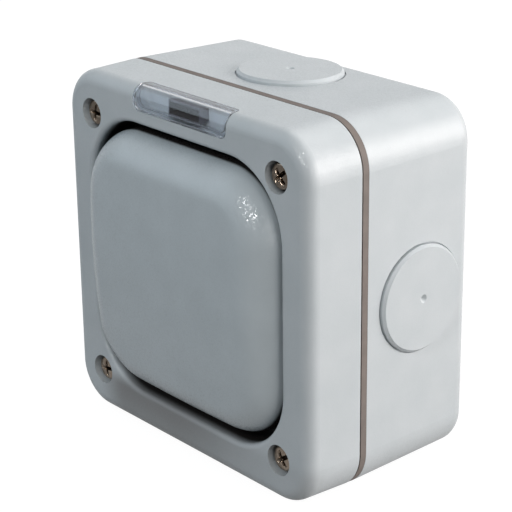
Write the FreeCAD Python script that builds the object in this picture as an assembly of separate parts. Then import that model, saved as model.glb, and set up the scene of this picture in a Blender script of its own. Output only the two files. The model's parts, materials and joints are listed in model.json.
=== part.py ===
import FreeCAD, Part
import math
import os

# Outdoor wall switch: +X right, +Z up, front faces -Y, origin at the middle of the wall face.
# Depths run back from the front plane of the cover. All sizes in millimetres and degrees.

# Outer form
plate_size = 86.0
corner_radius = 10.6
cover_depth = 14.65
gasket_band = 2.0
box_depth = 32.5
cover_draft = 1.66
box_draft = 1.35
front_edge_radius = 3.2
inner_edge_radius = 1.0
rear_edge_radius = 3.5
cover_wall = 2.5
box_wall = 2.5
back_wall = 3.0

# Seal between cover and box
gasket_inset = 0.05
gasket_groove_width = 0.4
gasket_groove_depth = 0.6
gasket_width = 4.2
gasket_lip_height = 2.0
gasket_lip_width = 1.4
seal_clearance = 0.1

# Cover fixings
screw_inset = 10.4
boss_radius = 5.0
screw_radius = 1.6
screw_head_radius = 3.0
screw_head_height = 2.6
screw_sink = 0.9
screw_hole_clearance = 0.2
counterbore_radius = 3.6
screw_seal_thickness = 0.8
screw_engagement = 9.0
insert_radius = 2.6
insert_length = 8.0
insert_sink = 0.5
post_radius = 4.8
post_web = 2.0
post_hole_spare = 3.0
cross_length = 3.4
cross_width = 0.8
cross_depth = 1.1

# Well and rocker
bezel_width = 9.4
well_radius = 17.0
well_edge_radius = 1.2
well_wall = 2.0
well_depth = 9.5
well_floor = 2.2
rocker_gap = 0.8
rocker_end_gap = 2.0
rocker_rise = 5.9
rocker_side_sag = 0.9
rocker_end_sag = 2.5
rocker_edge_radius = 8.5
rocker_wall = 2.2
rocker_skirt_depth = 5.2
rocker_tilt = 1.8
pivot_depth = 4.0
axle_radius = 2.0
axle_length = 3.6
ear_radius = 3.6
ear_thickness = 2.4
ear_outer_x = 21.2
bearing_gap = 0.4
bearing_width = 4.0
bearing_radius = 3.5
running_clearance = 0.05
cup_radius = 4.1
cup_wall = 1.6
cup_reach = 1.2

# Window at the top front edge
lens_half = 16.4
lens_drop = 6.0
lens_depth = 4.7
lens_wall = 1.2
lens_corner_radius = 2.0
lens_clearance = 0.08
pocket_wall = 1.6
hood_half = 5.5
hood_lift = 0.7
hood_height = 3.2
hood_front_depth = 2.3
hood_wall = 0.4
holder_half = 8.0
holder_length = 4.5
lamp_radius = 1.0
lamp_tip_depth = 3.6

# Inner lever and its seal
ball_depth = 13.0
ball_radius = 2.75
lever_arm = 5.5
stem_radius = 2.1
hub_radius = 2.4
hub_half = 5.5
pin_radius = 1.0
pin_seat_clearance = 0.02
barrel_radius = 2.6
barrel_length = 6.6
bore_floor = 2.0
plunger_radius = 1.9
plunger_back = 4.6
plunger_tip = 9.6
plunger_bore_radius = 1.3
plunger_bore_depth = 3.4
spring_wire_radius = 0.25
spring_turns = 3.0
boot_wall = 0.75
boot_clearance = 0.15
boot_flange_radius = 12.5
boot_fold_radius = 8.4
boot_fold_gap = 0.8
boot_flange_thickness = 1.5

# Switch module
module_half_x = 19.0
module_half_z = 22.0
module_ear_z = 31.0
module_corner_radius = 4.0
module_plate = 2.2
module_flange = 2.0
module_wall = 2.0
module_screw_z = 26.5
module_screw_radius = 1.45
module_screw_hole = 1.8
module_head_radius = 3.0
module_head_height = 2.0
module_boss_radius = 3.6
module_boss_height = 3.0
module_thread_skin = 1.2
boot_room = 0.6
cheek_gap = 0.5
cheek_width = 2.4
cheek_half_z = 11.0
cheek_margin = 3.0

# Contacts and terminals
arm_thickness = 1.0
arm_half_width = 3.5
arm_half_length = 13.5
arm_tilt = 3.5
plunger_clearance = 0.25
trunnion_radius = 0.8
trunnion_length = 1.9
trunnion_root = 1.0
contact_z = 11.5
contact_radius = 1.7
contact_height = 0.6
contact_gap = 0.15
pad_height = 0.5
strip_thickness = 1.0
strip_half_z = 3.0
bracket_gap = 0.5
bracket_wall = 1.0
bracket_top = 1.25
terminal_pitch = 14.0
terminal_half = 4.0
terminal_length = 6.6
terminal_fit = 0.15
neck_half_x = 2.0
neck_half_z = 1.0
wire_hole_radius = 1.6
wire_hole_setback = 3.6
wire_notch_radius = 2.2
terminal_screw_radius = 1.45
terminal_pilot_radius = 1.5
terminal_head_radius = 2.6
terminal_head_height = 1.5
slot_width = 0.7
slot_depth = 0.7
tower_half_x = 7.0
tower_half_z = 20.0
tower_length = 4.8

# Wall side of the box
fixing_pitch = 60.3
fixing_hole_radius = 2.5
fixing_collar_radius = 5.0
fixing_collar_height = 2.5
back_recess_depth = 0.6
back_recess_margin = 8.0
back_recess_radius = 6.0
entry_radius = 12.4
entry_height = 1.1
entry_bevel = 0.6
entry_root = 1.0
entry_groove_width = 0.35
entry_groove_depth = 0.5
entry_dimple_radius = 1.0
entry_dimple_depth = 0.8
earth_x = -20.0
earth_z = -27.0
earth_cup_wall = 1.2
earth_cup_height = 3.0

# Worked out from the sizes above
plate_half = plate_size / 2
total_depth = cover_depth + gasket_band + box_depth
front_y = -total_depth
rim_depth = cover_depth + gasket_band
screw_offset = plate_half - screw_inset
screw_seat_depth = screw_sink + screw_head_height + screw_seal_thickness
well_half = plate_half - bezel_width
rocker_half = well_half - rocker_gap
rocker_half_z = well_half - rocker_end_gap
lens_bottom_z = plate_half - lens_drop
hood_bottom_z = lens_bottom_z + hood_lift
lamp_z = hood_bottom_z + hood_wall + lamp_radius + running_clearance
well_back = well_depth + well_floor
boot_back = well_back + boot_flange_thickness
plate_back = boot_back + module_plate
boot_fold_depth = ball_depth + cup_reach + boot_fold_gap - well_back
dolly_pivot_depth = ball_depth + lever_arm
cup_arm = ball_depth - pivot_depth
dolly_tilt = math.degrees(math.asin(cup_arm * math.sin(math.radians(rocker_tilt)) / lever_arm))
arm_front_depth = dolly_pivot_depth + plunger_tip + plunger_clearance
arm_pivot_depth = arm_front_depth + arm_thickness / 2
contact_swing = contact_z * math.sin(math.radians(arm_tilt))
pad_front_depth = arm_pivot_depth + arm_thickness / 2 + contact_height + contact_swing + contact_gap
strip_depth = pad_front_depth + pad_height
base_floor_depth = strip_depth + strip_thickness
base_back_depth = base_floor_depth + module_wall
spare = 5.0
overcut = 0.5
axis_x = FreeCAD.Vector(1, 0, 0)
axis_y = FreeCAD.Vector(0, 1, 0)
axis_z = FreeCAD.Vector(0, 0, 1)
tolerance = 0.01


def at(depth):
    return front_y + depth


def point(x, depth, z):
    return FreeCAD.Vector(x, at(depth), z)


def block(half_x, depth_a, depth_b, z_low, z_high, x_middle=0.0):
    corner = point(x_middle - half_x, depth_a, z_low)
    return Part.makeBox(2 * half_x, depth_b - depth_a, z_high - z_low, corner)


def rod(radius, depth_a, depth_b, x=0.0, z=0.0):
    return Part.makeCylinder(radius, depth_b - depth_a, point(x, depth_a, z), axis_y)


def cross_rod(radius, x_a, x_b, depth, z=0.0):
    return Part.makeCylinder(radius, x_b - x_a, point(x_a, depth, z), axis_x)


def rounded_outline(half_x, half_z, radius, depth):
    edges = []
    inner_x = half_x - radius
    inner_z = half_z - radius
    turn = math.pi / 2
    for corner, (side_x, side_z) in enumerate(((1, 1), (-1, 1), (-1, -1), (1, -1))):
        middle = (side_x * inner_x, side_z * inner_z)
        around = [corner * turn + share * turn for share in (0.0, 0.5, 1.0)]
        marks = []
        for angle in around:
            x = middle[0] + radius * math.cos(angle)
            z = middle[1] + radius * math.sin(angle)
            marks.append(point(x, depth, z))
        edges.append((marks[0], Part.Arc(*marks).toShape(), marks[-1]))
    outline = []
    for here, after in zip(edges, edges[1:] + edges[:1]):
        outline.append(here[1])
        outline.append(Part.LineSegment(here[2], after[0]).toShape())
    return Part.Wire(outline)


def rounded_prism(half_x, half_z, radius, depth_a, depth_b):
    face = Part.Face(rounded_outline(half_x, half_z, radius, depth_a))
    return face.extrude(axis_y * (depth_b - depth_a))


def tapered_prism(half_a, radius_a, depth_a, half_b, radius_b, depth_b):
    end_a = rounded_outline(half_a, half_a, radius_a, depth_a)
    end_b = rounded_outline(half_b, half_b, radius_b, depth_b)
    return Part.makeLoft([end_a, end_b], True, True)


def edges_at(solid, depth, reach=plate_size):
    chosen = []
    for edge in solid.Edges:
        size = edge.BoundBox
        flat = abs(size.YMin - at(depth)) < tolerance and abs(size.YMax - at(depth)) < tolerance
        widest = max(abs(size.XMin), abs(size.XMax), abs(size.ZMin), abs(size.ZMax))
        if flat and widest < reach + tolerance:
            chosen.append(edge)
    return chosen


def corner_places(offset):
    return [(side_x * offset, side_z * offset) for side_x in (1, -1) for side_z in (1, -1)]


def cover_form(inset, front, rear, edge_radius):
    def half_at(depth):
        return plate_half - inset - math.tan(math.radians(cover_draft)) * (cover_depth - depth)

    shrink = plate_half - corner_radius
    form = tapered_prism(
        half_at(front), half_at(front) - shrink, front, half_at(rear), half_at(rear) - shrink, rear
    )
    return form.makeFillet(edge_radius, edges_at(form, front))


def window_block(margin):
    form = block(
        lens_half + margin, -spare, lens_depth + margin, lens_bottom_z - margin, plate_half + spare
    )
    corners = []
    for edge in form.Edges:
        size = edge.BoundBox
        along_depth = size.YLength > tolerance and abs(size.ZMax - lens_bottom_z + margin) < tolerance
        upright = size.ZLength > tolerance and abs(size.YMin - at(lens_depth + margin)) < tolerance
        if along_depth or upright:
            corners.append(edge)
    return form.makeFillet(lens_corner_radius, corners)


def cross_recess(depth, x, z):
    floor = depth + cross_depth
    long_half = cross_length / 2
    thin_half = cross_width / 2
    level_bar = block(long_half, depth, floor, z - thin_half, z + thin_half, x)
    upright_bar = block(thin_half, depth, floor, z - long_half, z + long_half, x)
    return level_bar.fuse(upright_bar)


def bearing_post(side):
    x_near = side * (ear_outer_x + bearing_gap)
    x_far = side * (ear_outer_x + bearing_gap + bearing_width)
    low, high = min(x_near, x_far), max(x_near, x_far)
    head = cross_rod(bearing_radius, low, high, pivot_depth)
    leg = block(
        bearing_width / 2, pivot_depth, well_depth + well_floor / 2, -bearing_radius, bearing_radius,
        (low + high) / 2,
    )
    bore = cross_rod(axle_radius + running_clearance, low - overcut, high + overcut, pivot_depth)
    return head.fuse(leg).cut(bore)


def front_cover():
    outside = cover_form(0.0, 0.0, cover_depth, front_edge_radius)
    inside = cover_form(cover_wall, cover_wall, cover_depth, inner_edge_radius)
    tub = rounded_prism(
        well_half + well_wall, well_half + well_wall, well_radius + well_wall, cover_wall / 2, well_back
    )
    bosses = [rod(boss_radius, cover_wall / 2, rim_depth, x, z) for x, z in corner_places(screw_offset)]
    pocket_back = lens_depth + lens_clearance + pocket_wall
    pocket_half = lens_half + lens_clearance + pocket_wall
    pocket_shell = block(pocket_half, cover_wall / 2, pocket_back, well_half, plate_half)
    mid_wall = cover_form(cover_wall / 2, cover_wall / 2, cover_depth, inner_edge_radius)
    pocket_shell = pocket_shell.common(mid_wall)
    body = outside.cut(inside).fuse([tub, pocket_shell] + bosses)
    well = rounded_prism(well_half, well_half, well_radius, -spare, well_depth)
    body = body.cut(well).removeSplitter()
    body = body.makeFillet(well_edge_radius, edges_at(body, 0.0, well_half))

    module_bosses = []
    for side in (1, -1):
        z = side * module_screw_z
        module_bosses.append(rod(module_boss_radius, well_depth - module_boss_height, boot_back, 0.0, z))
    body = body.fuse(module_bosses + [bearing_post(side) for side in (1, -1)])

    cuts = [window_block(lens_clearance)]
    hood_top = hood_bottom_z + hood_height
    cuts.append(
        block(hood_half + lens_clearance, 0.0, pocket_back + overcut, hood_bottom_z - lens_clearance,
              hood_top + lens_clearance)
    )
    for x, z in corner_places(screw_offset):
        cuts.append(rod(counterbore_radius, -spare, screw_seat_depth, x, z))
        cuts.append(rod(screw_radius + screw_hole_clearance, 0.0, rim_depth + spare, x, z))
    cuts.append(rod(boot_fold_radius - boot_wall, well_depth - overcut, well_back + overcut))
    thread_end = well_depth - module_boss_height + module_thread_skin
    for side in (1, -1):
        cuts.append(rod(module_screw_radius, thread_end, boot_back + spare, 0.0, side * module_screw_z))
    return body.cut(cuts).removeSplitter()


def lid_gasket():
    outer = plate_half - gasket_inset
    inner = outer - gasket_width
    shrink = plate_half - corner_radius
    band = rounded_prism(outer, outer, outer - shrink, cover_depth, rim_depth)
    lip_taper = gasket_lip_height * math.tan(math.radians(cover_draft))
    lip_half = plate_half - cover_wall - seal_clearance - lip_taper
    lip = rounded_prism(lip_half, lip_half, lip_half - shrink, cover_depth - gasket_lip_height, cover_depth)
    lip_inner = lip_half - gasket_lip_width
    lip = lip.cut(
        rounded_prism(lip_inner, lip_inner, lip_inner - shrink, cover_depth - spare, cover_depth + spare)
    )
    hole = rounded_prism(inner, inner, inner - shrink, cover_depth - spare, rim_depth + spare)
    waist = outer - gasket_groove_depth
    groove_end = cover_depth + gasket_groove_width
    groove = rounded_prism(plate_size, plate_size, spare, cover_depth, groove_end).cut(
        rounded_prism(waist, waist, waist - shrink, cover_depth, groove_end)
    )
    return band.cut([hole, groove]).fuse(lip).removeSplitter()


def cover_screws():
    screws = []
    for x, z in corner_places(screw_offset):
        head_end = screw_sink + screw_head_height
        head = rod(screw_head_radius, screw_sink, head_end, x, z)
        head = head.makeFillet(screw_head_height / 3, edges_at(head, screw_sink))
        shank = rod(screw_radius, head_end, rim_depth + screw_engagement, x, z)
        screws.append(head.fuse(shank).cut(cross_recess(screw_sink, x, z)).removeSplitter())
    return Part.makeCompound(screws)


def screw_seals():
    rings = []
    for x, z in corner_places(screw_offset):
        ring = rod(screw_head_radius, screw_sink + screw_head_height, screw_seat_depth, x, z)
        hole = rod(screw_radius + screw_hole_clearance, 0.0, rim_depth, x, z)
        rings.append(ring.cut(hole))
    return Part.makeCompound(rings)


def threaded_inserts():
    tubes = []
    start = rim_depth + insert_sink
    for x, z in corner_places(screw_offset):
        tube = rod(insert_radius, start, start + insert_length, x, z)
        tubes.append(tube.cut(rod(screw_radius + running_clearance, 0.0, total_depth, x, z)))
    return Part.makeCompound(tubes)


def entry_place(form, quarter_turns):
    form.rotate(FreeCAD.Vector(), axis_z, box_draft)
    side_x = plate_half - math.tan(math.radians(box_draft)) * box_depth / 2
    form.translate(FreeCAD.Vector(side_x, -box_depth / 2, 0))
    form.rotate(FreeCAD.Vector(), axis_y, 90 * quarter_turns)
    return form


def entry_groove(quarter_turns):
    reach = entry_groove_depth + spare
    start = axis_x * -entry_groove_depth
    ring = Part.makeCylinder(entry_radius + entry_groove_width, reach, start, axis_x)
    ring = ring.cut(Part.makeCylinder(entry_radius, reach, start, axis_x))
    return entry_place(ring, quarter_turns)


def entry_disc(quarter_turns):
    rim = Part.makeCylinder(
        entry_radius, entry_root + entry_height - entry_bevel, axis_x * -entry_root, axis_x
    )
    bevel = Part.makeCone(
        entry_radius, entry_radius - entry_bevel, entry_bevel, axis_x * (entry_height - entry_bevel), axis_x
    )
    dimple = Part.makeCone(
        0.0, entry_dimple_radius, entry_dimple_depth, axis_x * (entry_height - entry_dimple_depth), axis_x
    )
    return entry_place(rim.fuse(bevel).cut(dimple).removeSplitter(), quarter_turns)


def corner_post(x, z):
    post = rod(post_radius, rim_depth, total_depth - back_wall / 2, x, z)
    side_x = math.copysign(1, x)
    side_z = math.copysign(1, z)
    reach = plate_half - box_wall / 2 - math.tan(math.radians(box_draft)) * box_depth
    web_x = block((reach - abs(x)) / 2, rim_depth + post_web, total_depth - back_wall / 2,
                  z - post_web / 2, z + post_web / 2, side_x * (reach + abs(x)) / 2)
    low, high = sorted((z, side_z * reach))
    web_z = block(post_web / 2, rim_depth + post_web, total_depth - back_wall / 2, low, high, x)
    return post.fuse([web_x, web_z])


def back_box():
    shrink = plate_half - corner_radius
    taper = math.tan(math.radians(box_draft))

    def half_at(depth, inset):
        return plate_half - inset - taper * (depth - rim_depth)

    rear_half = half_at(total_depth, 0.0)
    outside = tapered_prism(
        plate_half, corner_radius, rim_depth, rear_half, rear_half - shrink, total_depth
    )
    outside = outside.makeFillet(rear_edge_radius, edges_at(outside, total_depth))
    floor_depth = total_depth - back_wall
    mouth_half = half_at(rim_depth, box_wall)
    floor_half = half_at(floor_depth, box_wall)
    inside = tapered_prism(
        mouth_half, mouth_half - shrink, rim_depth, floor_half, floor_half - shrink, floor_depth
    )
    inside = inside.makeFillet(inner_edge_radius, edges_at(inside, floor_depth))
    body = outside.cut(inside)
    additions = [corner_post(x, z) for x, z in corner_places(screw_offset)]
    additions += [entry_disc(turns) for turns in range(4)]
    fixing_x = fixing_pitch / 2
    for side in (1, -1):
        collar_front = floor_depth - fixing_collar_height
        collar_root = floor_depth + back_wall / 2
        additions.append(rod(fixing_collar_radius, collar_front, collar_root, side * fixing_x))
    cup_half = terminal_half + terminal_fit + earth_cup_wall
    additions.append(
        block(cup_half, floor_depth - earth_cup_height, floor_depth + back_wall / 2,
              earth_z - cup_half, earth_z + cup_half, earth_x)
    )
    body = body.fuse(additions).removeSplitter()

    cuts = [entry_groove(turns) for turns in range(4)]
    for x, z in corner_places(screw_offset):
        insert_end = rim_depth + insert_sink + insert_length
        cuts.append(rod(insert_radius + pin_seat_clearance, 0.0, insert_end, x, z))
        hole_end = rim_depth + screw_engagement + post_hole_spare
        cuts.append(rod(screw_radius + screw_hole_clearance, 0.0, hole_end, x, z))
    recess_half = rear_half - back_recess_margin
    recess = rounded_prism(
        recess_half, recess_half, back_recess_radius, total_depth - back_recess_depth, total_depth + spare
    )
    for side in (1, -1):
        pad = rod(fixing_collar_radius, floor_depth, total_depth + 2 * spare, side * fixing_x)
        recess = recess.cut(pad)
        cuts.append(rod(fixing_hole_radius, floor_depth - spare, total_depth + spare, side * fixing_x))
    cuts.append(recess)
    seat_half = terminal_half + terminal_fit
    cuts.append(
        block(seat_half, floor_depth - earth_cup_height - spare, floor_depth,
              earth_z - seat_half, earth_z + seat_half, earth_x)
    )
    return body.cut(cuts).removeSplitter()


def rocker_form(inset, rear):
    half = rocker_half - inset
    rise = rocker_rise - inset
    side_curve = rocker_half ** 2 / (2 * rocker_side_sag)
    end_curve = rocker_half_z ** 2 / (2 * rocker_end_sag)
    reach = rocker_half + spare
    edge_drop = side_curve - math.sqrt(side_curve ** 2 - reach ** 2)
    crown = Part.Arc(
        point(-reach, edge_drop - rise, 0), point(0, -rise, 0), point(reach, edge_drop - rise, 0)
    ).toShape()
    rear_line = rocker_skirt_depth + spare
    sides = Part.makePolygon([
        point(reach, edge_drop - rise, 0), point(reach, rear_line, 0),
        point(-reach, rear_line, 0), point(-reach, edge_drop - rise, 0),
    ])
    profile = Part.Face(Part.Wire([crown] + sides.Edges))
    turn_axis = point(0, end_curve - rocker_rise, 0)
    sweep = math.degrees(math.asin(reach / end_curve))
    profile.rotate(turn_axis, axis_x, -sweep)
    crowned = profile.revolve(turn_axis, axis_x, 2 * sweep)
    outline_radius = well_radius - rocker_gap - inset
    outline = rounded_prism(half, rocker_half_z - inset, outline_radius, -rise - spare, rear)
    pillow = crowned.common(outline)
    rim = []
    for edge in pillow.Edges:
        size = edge.BoundBox
        across = max(size.XLength, size.ZLength) > tolerance
        if across and size.YMax < at(rear) - tolerance:
            rim.append(edge)
    return pillow.makeFillet(rocker_edge_radius - inset, rim)


def rocker():
    shell = rocker_form(0.0, rocker_skirt_depth)
    shell = shell.cut(rocker_form(rocker_wall, rocker_skirt_depth + spare))
    root = rocker_side_sag * (ear_outer_x / rocker_half) ** 2 + rocker_wall / 2 - rocker_rise
    additions = []
    for side in (1, -1):
        middle = side * (ear_outer_x - ear_thickness / 2)
        ear_low = middle - ear_thickness / 2
        ear_high = middle + ear_thickness / 2
        additions.append(block(ear_thickness / 2, root, pivot_depth, -ear_radius, ear_radius, middle))
        additions.append(cross_rod(ear_radius, ear_low, ear_high, pivot_depth))
        tip = side * (ear_outer_x + axle_length)
        additions.append(cross_rod(axle_radius, min(middle, tip), max(middle, tip), pivot_depth))
    cup_end = ball_depth + cup_reach
    cup = rod(cup_radius + cup_wall, rocker_wall / 2 - rocker_rise, cup_end)
    hollow = rod(cup_radius, rocker_wall - rocker_rise, cup_end + spare)
    body = shell.fuse(additions + [cup]).cut(hollow).removeSplitter()
    body.rotate(point(0, pivot_depth, 0), axis_x, rocker_tilt)
    return body


def indicator_lens():
    outside = cover_form(0.0, 0.0, cover_depth, front_edge_radius).common(window_block(0.0))
    inner_form = cover_form(lens_wall, lens_wall, cover_depth, front_edge_radius - lens_wall)
    inner_span = block(
        lens_half - lens_wall, 0.0, lens_depth + spare, lens_bottom_z - spare, plate_half + spare
    )
    return outside.cut(inner_form.common(inner_span)).removeSplitter()


def indicator_holder():
    hood_top = hood_bottom_z + hood_height
    pocket_back = lens_depth + lens_clearance + pocket_wall
    hood = block(hood_half, hood_front_depth, pocket_back, hood_bottom_z, hood_top)
    cradle_low = well_half + well_wall + lens_clearance
    cradle_top = lamp_z + lamp_radius / 2
    body = block(holder_half, pocket_back, pocket_back + holder_length, cradle_low, cradle_top)
    mouth = block(
        hood_half - hood_wall, hood_front_depth - spare, pocket_back - hood_wall,
        hood_bottom_z + hood_wall, hood_top - hood_wall,
    )
    bore = rod(lamp_radius + running_clearance, lens_depth, total_depth, 0.0, lamp_z)
    return hood.fuse(body).cut([mouth, bore]).removeSplitter()


def indicator_lamp():
    rear = lens_depth + lens_clearance + pocket_wall + holder_length
    tube = rod(lamp_radius, lamp_tip_depth + lamp_radius, rear, 0.0, lamp_z)
    tip = Part.makeSphere(lamp_radius, point(0, lamp_tip_depth + lamp_radius, lamp_z))
    return tube.fuse(tip).removeSplitter()


def lever_boot():
    fold_front = well_back + boot_fold_depth
    fold_back = fold_front + boot_wall
    inner = boot_fold_radius - boot_wall
    outline = [
        (0.0, fold_front), (inner, fold_front), (inner, well_back), (boot_flange_radius, well_back),
        (boot_flange_radius, boot_back), (boot_fold_radius, boot_back), (boot_fold_radius, fold_back),
        (0.0, fold_back), (0.0, fold_front),
    ]
    wire = Part.makePolygon([point(radius, depth, 0) for radius, depth in outline])
    skirt = Part.Face(wire).revolve(point(0, 0, 0), axis_y, 360)
    cavity_radius = ball_radius + boot_clearance
    cap_radius = cavity_radius + boot_wall
    cap = Part.makeSphere(cap_radius, point(0, ball_depth, 0)).fuse(
        rod(cap_radius, ball_depth, fold_front + boot_wall / 2)
    )
    cavity = Part.makeSphere(cavity_radius, point(0, ball_depth, 0)).fuse(
        rod(cavity_radius, ball_depth, fold_back + spare)
    )
    for form in (cap, cavity):
        form.rotate(point(0, dolly_pivot_depth, 0), axis_x, -dolly_tilt)
    return skirt.fuse(cap).cut(cavity).removeSplitter()


def dolly():
    centre = dolly_pivot_depth
    ball = Part.makeSphere(ball_radius, point(0, ball_depth, 0))
    stem = rod(stem_radius, ball_depth, centre)
    hub = cross_rod(hub_radius, -hub_half, hub_half, centre)
    barrel = rod(barrel_radius, centre, centre + barrel_length)
    bore = rod(plunger_radius + running_clearance, centre + bore_floor, centre + barrel_length + spare)
    pin_hole = cross_rod(pin_radius + running_clearance, -hub_half - spare, hub_half + spare, centre)
    lever = ball.fuse([stem, hub, barrel]).cut([bore, pin_hole]).removeSplitter()
    lever.rotate(point(0, centre, 0), axis_x, -dolly_tilt)
    return lever


def dolly_pin():
    reach = hub_half + cheek_gap + cheek_width
    return cross_rod(pin_radius, -reach, reach, dolly_pivot_depth)


def plunger():
    centre = dolly_pivot_depth
    dome = centre + plunger_tip - plunger_radius
    body = rod(plunger_radius, centre + plunger_back, dome)
    tip = Part.makeSphere(plunger_radius, point(0, dome, 0))
    bore_end = centre + plunger_back + plunger_bore_depth
    bore = rod(plunger_bore_radius, centre + plunger_back - spare, bore_end)
    piece = body.fuse(tip).cut(bore).removeSplitter()
    piece.rotate(point(0, centre, 0), axis_x, -dolly_tilt)
    return piece


def plunger_spring():
    room = plunger_back - bore_floor
    rise = room - 2 * spring_wire_radius
    coil_radius = plunger_radius - 2 * spring_wire_radius
    helix = Part.makeHelix(rise / spring_turns, rise, coil_radius)
    section = Part.Wire(Part.makeCircle(spring_wire_radius, FreeCAD.Vector(coil_radius, 0, 0), axis_y))
    coil = Part.Wire(helix).makePipeShell([section], True, True)
    coil.rotate(FreeCAD.Vector(), axis_x, -90)
    coil.translate(point(0, dolly_pivot_depth + bore_floor + spring_wire_radius, 0))
    coil.rotate(point(0, dolly_pivot_depth, 0), axis_x, -dolly_tilt)
    return coil


def module_ears(depth_a, depth_b):
    plate = rounded_prism(module_half_x, module_ear_z, module_corner_radius, depth_a, depth_b)
    holes = []
    for side in (1, -1):
        holes.append(rod(module_screw_hole, depth_a - spare, depth_b + spare, 0.0, side * module_screw_z))
    return plate.cut(holes)


def switch_frame():
    plate = module_ears(boot_back, plate_back)
    cheek_x = hub_half + cheek_gap + cheek_width / 2
    cheeks = []
    for side in (1, -1):
        cheek_end = dolly_pivot_depth + cheek_margin
        cheeks.append(
            block(cheek_width / 2, boot_back, cheek_end, -cheek_half_z, cheek_half_z, side * cheek_x)
        )
    room_end = well_back + boot_fold_depth + boot_wall + boot_room
    room = rod(boot_fold_radius + boot_room, boot_back - spare, room_end)
    reach = hub_half + cheek_gap + cheek_width + spare
    pin_hole = cross_rod(pin_radius + pin_seat_clearance, -reach, reach, dolly_pivot_depth)
    return plate.fuse(cheeks).cut([room, pin_hole]).removeSplitter()


def switch_base():
    flange = module_ears(plate_back, plate_back + module_flange)
    cup = rounded_prism(module_half_x, module_half_z, module_corner_radius, plate_back, base_back_depth)
    tower_end = base_back_depth + tower_length
    tower = rounded_prism(tower_half_x, tower_half_z, module_corner_radius / 2, base_back_depth, tower_end)
    room = rounded_prism(
        module_half_x - module_wall, module_half_z - module_wall, module_corner_radius - module_wall,
        plate_back - spare, base_floor_depth,
    )
    seat = terminal_half + terminal_fit
    wire_depth = base_back_depth + terminal_length - wire_hole_setback
    cuts = [room]
    for place in (1, 0, -1):
        z = place * terminal_pitch
        cuts.append(block(seat, base_back_depth, tower_end + spare, z - seat, z + seat))
        cuts.append(
            block(neck_half_x + terminal_fit, base_floor_depth - spare, base_back_depth + spare,
                  z - neck_half_z - terminal_fit, z + neck_half_z + terminal_fit)
        )
        notch_reach = tower_half_x + spare
        cuts.append(cross_rod(wire_notch_radius, -notch_reach, notch_reach, wire_depth, z))
        cuts.append(
            block(notch_reach, wire_depth, tower_end + spare, z - wire_notch_radius, z + wire_notch_radius)
        )
    return flange.fuse([cup, tower]).cut(cuts).removeSplitter()


def terminal_block(z):
    rear = base_back_depth + terminal_length
    body = block(terminal_half, base_back_depth, rear, z - terminal_half, z + terminal_half)
    neck = block(neck_half_x, strip_depth, base_back_depth, z - neck_half_z, z + neck_half_z)
    wire_depth = base_back_depth + terminal_length - wire_hole_setback
    wire_hole = cross_rod(wire_hole_radius, -terminal_half - spare, terminal_half + spare, wire_depth, z)
    pilot = rod(terminal_pilot_radius, wire_depth, base_back_depth + terminal_length + spare, 0.0, z)
    return body.fuse(neck).cut([wire_hole, pilot])


def outer_terminal(side):
    z = side * terminal_pitch
    low, high = sorted((side * (contact_z - strip_half_z), z + side * strip_half_z))
    strip = block(arm_half_width, strip_depth, base_floor_depth, low, high)
    pad = rod(contact_radius, pad_front_depth, strip_depth, 0.0, side * contact_z)
    return terminal_block(z).fuse([strip, pad]).removeSplitter()


def common_terminal():
    near = arm_half_width + bracket_gap
    far = near + bracket_wall
    strip = block(far, strip_depth, base_floor_depth, -strip_half_z, strip_half_z)
    uprights = []
    for side in (1, -1):
        middle = side * (near + far) / 2
        top = arm_pivot_depth - bracket_top
        uprights.append(
            block(bracket_wall / 2, top, base_floor_depth, -strip_half_z, strip_half_z, middle)
        )
    hole = cross_rod(trunnion_radius + running_clearance, -far - spare, far + spare, arm_pivot_depth)
    return terminal_block(0.0).fuse([strip] + uprights).cut(hole).removeSplitter()


def contact_arm():
    half = arm_thickness / 2
    bar = rounded_prism(
        arm_half_width, arm_half_length, arm_half_width / 2, arm_pivot_depth - half, arm_pivot_depth + half
    )
    additions = []
    for side in (1, -1):
        root, tip = side * (arm_half_width - trunnion_root), side * (arm_half_width + trunnion_length)
        additions.append(cross_rod(trunnion_radius, min(root, tip), max(root, tip), arm_pivot_depth))
        contact_end = arm_pivot_depth + half + contact_height
        additions.append(rod(contact_radius, arm_pivot_depth, contact_end, 0.0, side * contact_z))
    arm = bar.fuse(additions).removeSplitter()
    arm.rotate(point(0, arm_pivot_depth, 0), axis_x, arm_tilt)
    return arm


def slotted_screw(head_end, tip_depth, x, z):
    seat = head_end - terminal_head_height
    head = rod(terminal_head_radius, seat, head_end, x, z)
    shank = rod(terminal_screw_radius, tip_depth, seat, x, z)
    slot_half = slot_width / 2
    slot = block(terminal_head_radius, head_end - slot_depth, head_end, z - slot_half, z + slot_half, x)
    return head.fuse(shank).cut(slot).removeSplitter()


def terminal_screws():
    seat = base_back_depth + terminal_length
    tip = seat - wire_hole_setback + wire_hole_radius / 2
    places = [place * terminal_pitch for place in (1, 0, -1)]
    return Part.makeCompound([slotted_screw(seat + terminal_head_height, tip, 0.0, z) for z in places])


def module_screws():
    screws = []
    seat = plate_back + module_flange
    thread_end = well_depth - module_boss_height + module_thread_skin
    for side in (1, -1):
        z = side * module_screw_z
        head = rod(module_head_radius, seat, seat + module_head_height, 0.0, z)
        head = head.makeFillet(module_head_height / 3, edges_at(head, seat + module_head_height))
        shank = rod(module_screw_radius, thread_end + module_thread_skin / 2, seat, 0.0, z)
        recess = cross_recess(seat + module_head_height - cross_depth, 0.0, z)
        screws.append(head.fuse(shank).cut(recess).removeSplitter())
    return Part.makeCompound(screws)


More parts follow.
